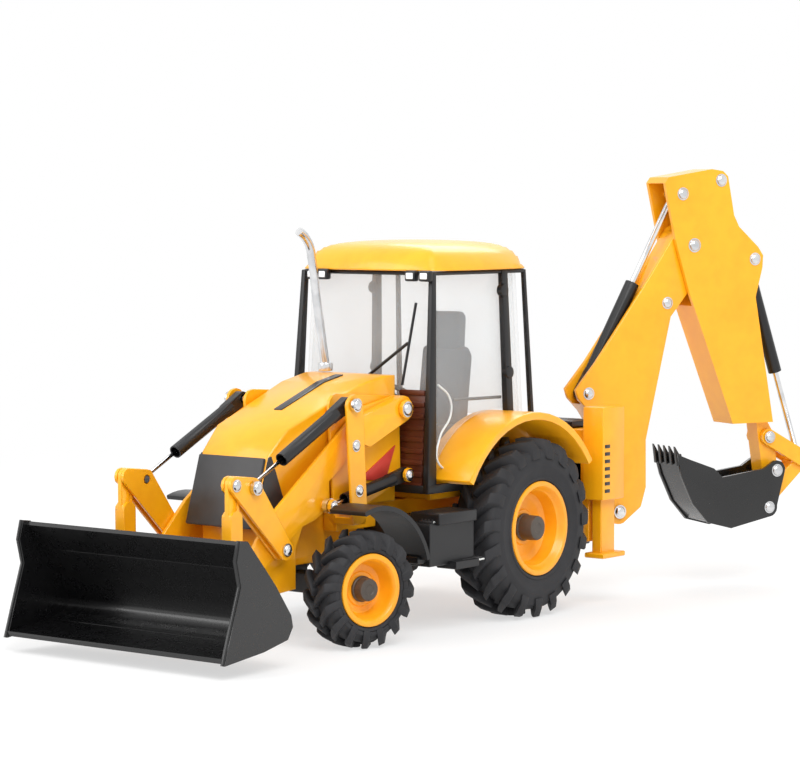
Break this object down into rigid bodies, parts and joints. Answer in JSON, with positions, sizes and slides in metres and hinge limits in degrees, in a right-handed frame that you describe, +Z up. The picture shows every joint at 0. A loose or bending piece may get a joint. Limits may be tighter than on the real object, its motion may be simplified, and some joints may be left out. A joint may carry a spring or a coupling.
{
  "type": "toy backhoe loader",
  "caption": "Toy backhoe loader with a jointed front loader, steered front wheels, glazed cab, drop stabilisers and a slewing digging arm at the rear.",
  "frame": {"origin": "on the ground, under the middle of the machine's box at rest", "axes": "+Z up, -X the way the machine drives, -Y its left side"},
  "size_m": [0.2418, 0.0842, 0.1173],
  "materials": {
    "yellow_plastic": "gloss",
    "black_plastic": "satin",
    "charcoal_plastic": "satin",
    "tyre_rubber": "matte",
    "bright_metal": "polished",
    "clear_plastic": "clear",
    "grey_plastic": "satin"
  },
  "bodies": {
    "machine_body": {"chassis": "yellow_plastic", "engine_hood": "yellow_plastic", "front_grille": "black_plastic", "cab_frame": "black_plastic", "cab_glazing": "clear_plastic", "cab_roof": "yellow_plastic", "rear_fenders": "yellow_plastic", "operator_console": "black_plastic", "operator_seat": "grey_plastic", "exhaust_stack": "bright_metal", "left_step_moulding": "black_plastic", "right_step_moulding": "black_plastic", "front_axle": "black_plastic", "left_loader_tower": "yellow_plastic", "right_loader_tower": "yellow_plastic", "rear_frame": "yellow_plastic"},
    "rear_left_wheel": {"rear_left_tyre": "tyre_rubber", "rear_left_rim": "yellow_plastic"},
    "left_knuckle": {"left_steering_knuckle": "black_plastic"},
    "rear_right_wheel": {"rear_right_tyre": "tyre_rubber", "rear_right_rim": "yellow_plastic"},
    "right_knuckle": {"right_steering_knuckle": "black_plastic"},
    "tie_rod_link": {"tie_rod": "bright_metal"},
    "front_left_wheel": {"front_left_tyre": "tyre_rubber", "front_left_rim": "yellow_plastic"},
    "front_right_wheel": {"front_right_tyre": "tyre_rubber", "front_right_rim": "yellow_plastic"},
    "loader_arm_frame": {"loader_arms": "yellow_plastic"},
    "front_bucket": {"loader_bucket": "black_plastic"},
    "left_lever": {"left_bucket_lever": "yellow_plastic"},
    "left_link": {"left_bucket_link": "yellow_plastic"},
    "left_tower_pivot": {"left_tower_pin": "bright_metal"},
    "left_lever_pivot": {"left_lever_pin": "bright_metal"},
    "left_tilt_barrel": {"left_tilt_ram_barrel": "black_plastic"},
    "left_tilt_rod": {"left_tilt_ram_rod": "bright_metal"},
    "left_lift_barrel": {"left_lift_ram_barrel": "black_plastic"},
    "left_lift_rod": {"left_lift_ram_rod": "bright_metal"},
    "right_lever": {"right_bucket_lever": "yellow_plastic"},
    "right_link": {"right_bucket_link": "yellow_plastic"},
    "right_tower_pivot": {"right_tower_pin": "bright_metal"},
    "right_lever_pivot": {"right_lever_pin": "bright_metal"},
    "right_tilt_barrel": {"right_tilt_ram_barrel": "black_plastic"},
    "right_tilt_rod": {"right_tilt_ram_rod": "bright_metal"},
    "right_lift_barrel": {"right_lift_ram_barrel": "black_plastic"},
    "right_lift_rod": {"right_lift_ram_rod": "bright_metal"},
    "left_stabiliser": {"left_stabiliser_leg": "yellow_plastic"},
    "right_stabiliser": {"right_stabiliser_leg": "yellow_plastic"},
    "carriage": {"sideshift_carriage": "black_plastic"},
    "slew_post": {"kingpost": "black_plastic"},
    "boom": {"backhoe_boom": "yellow_plastic"},
    "dipper": {"backhoe_dipper": "yellow_plastic"},
    "dipper_barrel": {"dipper_ram_barrel": "black_plastic"},
    "dipper_rod": {"dipper_ram_rod": "bright_metal"},
    "scoop_barrel": {"bucket_ram_barrel": "black_plastic"},
    "scoop_rod": {"bucket_ram_rod": "bright_metal"},
    "tip_lever": {"tipping_lever": "yellow_plastic"},
    "tip_link": {"tipping_link": "yellow_plastic"},
    "scoop": {"backhoe_bucket": "charcoal_plastic"}
  },
  "joints": [
    {"name": "rear_left_spin", "type": "hinge", "parent": "machine_body", "child": "rear_left_wheel", "pos_m": [0.0056, -0.01985, 0.0235], "axis": [0, 1, 0], "continuous": true},
    {"name": "rear_right_spin", "type": "hinge", "parent": "machine_body", "child": "rear_right_wheel", "pos_m": [0.0056, 0.03265, 0.0235], "axis": [0, 1, 0], "continuous": true},
    {"name": "steering", "type": "hinge", "parent": "machine_body", "child": "left_knuckle", "pos_m": [-0.0603, -0.0114, 0], "axis": [0, 0, 1], "range_deg": [-3.2, 26.8]},
    {"name": "right_steering", "type": "hinge", "parent": "machine_body", "child": "right_knuckle", "pos_m": [-0.0603, 0.0242, 0], "axis": [0, 0, 1], "range_deg": [-3.7, 27.3]},
    {"name": "tie_rod_shift", "type": "slide", "parent": "machine_body", "child": "tie_rod_link", "axis": [0, 1, 0], "range_m": [-0.0008, 0.0036]},
    {"name": "front_left_spin", "type": "hinge", "parent": "left_knuckle", "child": "front_left_wheel", "pos_m": [-0.06224, -0.0207, 0.0145], "axis": [0.2045, 0.9789, 0], "continuous": true},
    {"name": "front_right_spin", "type": "hinge", "parent": "right_knuckle", "child": "front_right_wheel", "pos_m": [-0.05836, 0.0335, 0.0145], "axis": [0.2045, 0.9789, 0], "continuous": true},
    {"name": "arm_lift", "type": "hinge", "parent": "machine_body", "child": "loader_arm_frame", "pos_m": [-0.0334, 0.0064, 0.0562], "axis": [0, 1, 0], "range_deg": [-2, 42]},
    {"name": "bucket_tilt", "type": "hinge", "parent": "loader_arm_frame", "child": "front_bucket", "pos_m": [-0.0929, 0.0064, 0.014], "axis": [0, 1, 0], "range_deg": [-50, 20]},
    {"name": "left_lever_turn", "type": "hinge", "parent": "loader_arm_frame", "child": "left_lever", "pos_m": [-0.0796, -0.0109, 0.0249], "axis": [0, 1, 0], "range_deg": [-14.4, 6.06]},
    {"name": "left_link_turn", "type": "hinge", "parent": "left_lever", "child": "left_link", "pos_m": [-0.0976, -0.0109, 0.0418], "axis": [0, 1, 0], "range_deg": [-5.84, 13.85]},
    {"name": "left_tower_pin_turn", "type": "hinge", "parent": "machine_body", "child": "left_tower_pivot", "pos_m": [-0.0554, -0.0109, 0.0585], "axis": [0, 1, 0], "range_deg": [-3.56, 64.8]},
    {"name": "left_tilt_barrel_turn", "type": "hinge", "parent": "left_tower_pivot", "child": "left_tilt_barrel", "pos_m": [-0.0554, -0.0109, 0.0585], "axis": [0, 1, 0], "range_deg": [-3, 1.5]},
    {"name": "left_lever_pin_turn", "type": "hinge", "parent": "left_lever", "child": "left_lever_pivot", "pos_m": [-0.0914, -0.0109, 0.0408], "axis": [0, 1, 0], "range_deg": [-1.56, 22.8]},
    {"name": "left_tilt_rod_turn", "type": "hinge", "parent": "left_lever_pivot", "child": "left_tilt_rod", "pos_m": [-0.0914, -0.0109, 0.0408], "axis": [0, 1, 0], "range_deg": [-5.06, 11.9]},
    {"name": "left_lift_barrel_turn", "type": "hinge", "parent": "machine_body", "child": "left_lift_barrel", "pos_m": [-0.0324, -0.0109, 0.0395], "axis": [0, 1, 0], "range_deg": [-2.35, 39.43]},
    {"name": "left_lift_rod_turn", "type": "hinge", "parent": "loader_arm_frame", "child": "left_lift_rod", "pos_m": [-0.0619, -0.0109, 0.034], "axis": [0, 1, 0], "range_deg": [-3.57, 0.65]},
    {"name": "right_lever_turn", "type": "hinge", "parent": "loader_arm_frame", "child": "right_lever", "pos_m": [-0.0796, 0.0237, 0.0249], "axis": [0, 1, 0], "range_deg": [-14.4, 6.06]},
    {"name": "right_link_turn", "type": "hinge", "parent": "right_lever", "child": "right_link", "pos_m": [-0.0976, 0.0237, 0.0418], "axis": [0, 1, 0], "range_deg": [-5.84, 13.85]},
    {"name": "right_tower_pin_turn", "type": "hinge", "parent": "machine_body", "child": "right_tower_pivot", "pos_m": [-0.0554, 0.0237, 0.0585], "axis": [0, 1, 0], "range_deg": [-3.56, 64.8]},
    {"name": "right_tilt_barrel_turn", "type": "hinge", "parent": "right_tower_pivot", "child": "right_tilt_barrel", "pos_m": [-0.0554, 0.0237, 0.0585], "axis": [0, 1, 0], "range_deg": [-3, 1.5]},
    {"name": "right_lever_pin_turn", "type": "hinge", "parent": "right_lever", "child": "right_lever_pivot", "pos_m": [-0.0914, 0.0237, 0.0408], "axis": [0, 1, 0], "range_deg": [-1.56, 22.8]},
    {"name": "right_tilt_rod_turn", "type": "hinge", "parent": "right_lever_pivot", "child": "right_tilt_rod", "pos_m": [-0.0914, 0.0237, 0.0408], "axis": [0, 1, 0], "range_deg": [-5.06, 11.9]},
    {"name": "right_lift_barrel_turn", "type": "hinge", "parent": "machine_body", "child": "right_lift_barrel", "pos_m": [-0.0324, 0.0237, 0.0395], "axis": [0, 1, 0], "range_deg": [-2.35, 39.43]},
    {"name": "right_lift_rod_turn", "type": "hinge", "parent": "loader_arm_frame", "child": "right_lift_rod", "pos_m": [-0.0619, 0.0237, 0.034], "axis": [0, 1, 0], "range_deg": [-3.57, 0.65]},
    {"name": "left_stabiliser_drop", "type": "slide", "parent": "machine_body", "child": "left_stabiliser", "axis": [0, 0, -1], "range_m": [-0.005, 0.0123]},
    {"name": "right_stabiliser_drop", "type": "slide", "parent": "machine_body", "child": "right_stabiliser", "axis": [0, 0, -1], "range_m": [-0.005, 0.0123]},
    {"name": "sideshift", "type": "slide", "parent": "machine_body", "child": "carriage", "axis": [0, 1, 0], "range_m": [-0.0053, 0.0315]},
    {"name": "slew", "type": "hinge", "parent": "carriage", "child": "slew_post", "pos_m": [0.0511, -0.0067, 0], "axis": [0, 0, 1], "range_deg": [-65, 115]},
    {"name": "boom_lift", "type": "hinge", "parent": "slew_post", "child": "boom", "pos_m": [0.06098, -0.01131, 0.0225], "axis": [0.4226, 0.9063, 0], "range_deg": [-8, 45]},
    {"name": "dipper_swing", "type": "hinge", "parent": "boom", "child": "dipper", "pos_m": [0.082, -0.02111, 0.0961], "axis": [0.4226, 0.9063, 0], "range_deg": [-45, 6]},
    {"name": "bucket_curl", "type": "hinge", "parent": "dipper", "child": "scoop", "pos_m": [0.10675, -0.03265, 0.0321], "axis": [0.4226, 0.9063, 0], "range_deg": [-50, 15]},
    {"name": "dipper_barrel_turn", "type": "hinge", "parent": "boom", "child": "dipper_barrel", "pos_m": [0.05201, -0.00712, 0.0556], "axis": [0.4226, 0.9063, 0], "range_deg": [-6.17, 1.26]},
    {"name": "dipper_rod_turn", "type": "hinge", "parent": "dipper", "child": "dipper_rod", "pos_m": [0.07847, -0.01946, 0.1104], "axis": [0.4226, 0.9063, 0], "range_deg": [-5.74, 39.83]},
    {"name": "tip_lever_turn", "type": "hinge", "parent": "dipper", "child": "tip_lever", "pos_m": [0.10557, -0.0321, 0.0415], "axis": [0.4226, 0.9063, 0], "range_deg": [-26.15, 8.2]},
    {"name": "tip_link_turn", "type": "hinge", "parent": "tip_lever", "child": "tip_link", "pos_m": [0.11708, -0.03747, 0.0345], "axis": [0.4226, 0.9063, 0], "range_deg": [-1.75, 0.88]},
    {"name": "scoop_barrel_turn", "type": "hinge", "parent": "dipper", "child": "scoop_barrel", "pos_m": [0.10022, -0.02961, 0.0921], "axis": [0.4226, 0.9063, 0], "range_deg": [-4.45, 1.69]},
    {"name": "scoop_rod_turn", "type": "hinge", "parent": "tip_lever", "child": "scoop_rod", "pos_m": [0.11708, -0.03747, 0.0345], "axis": [0.4226, 0.9063, 0], "range_deg": [-7.01, 22.2]}
  ],
  "couplings": [
    {"joint": "right_steering", "follows": "steering", "ratio": 1},
    {"joint": "tie_rod_shift", "follows": "steering", "m_per_rad": 0.0063},
    {"joint": "left_lever_turn", "follows": "bucket_tilt", "ratio": 0.278},
    {"joint": "left_link_turn", "follows": "bucket_tilt", "ratio": -0.267},
    {"joint": "left_tower_pin_turn", "follows": "arm_lift", "ratio": 1.531},
    {"joint": "left_tilt_barrel_turn", "follows": "bucket_tilt", "ratio": 0.05},
    {"joint": "left_lever_pin_turn", "follows": "arm_lift", "ratio": 0.531},
    {"joint": "left_tilt_rod_turn", "follows": "bucket_tilt", "ratio": -0.228},
    {"joint": "left_lift_barrel_turn", "follows": "arm_lift", "ratio": 0.927},
    {"joint": "left_lift_rod_turn", "follows": "arm_lift", "ratio": -0.073},
    {"joint": "right_lever_turn", "follows": "bucket_tilt", "ratio": 0.278},
    {"joint": "right_link_turn", "follows": "bucket_tilt", "ratio": -0.267},
    {"joint": "right_tower_pin_turn", "follows": "arm_lift", "ratio": 1.531},
    {"joint": "right_tilt_barrel_turn", "follows": "bucket_tilt", "ratio": 0.05},
    {"joint": "right_lever_pin_turn", "follows": "arm_lift", "ratio": 0.531},
    {"joint": "right_tilt_rod_turn", "follows": "bucket_tilt", "ratio": -0.228},
    {"joint": "right_lift_barrel_turn", "follows": "arm_lift", "ratio": 0.927},
    {"joint": "right_lift_rod_turn", "follows": "arm_lift", "ratio": -0.073},
    {"joint": "dipper_barrel_turn", "follows": "dipper_swing", "ratio": 0.126},
    {"joint": "dipper_rod_turn", "follows": "dipper_swing", "ratio": -0.874},
    {"joint": "tip_lever_turn", "follows": "bucket_curl", "ratio": 0.513},
    {"joint": "tip_link_turn", "follows": "bucket_curl", "ratio": 0.025},
    {"joint": "scoop_barrel_turn", "follows": "bucket_curl", "ratio": 0.079},
    {"joint": "scoop_rod_turn", "follows": "bucket_curl", "ratio": -0.434}
  ]
}
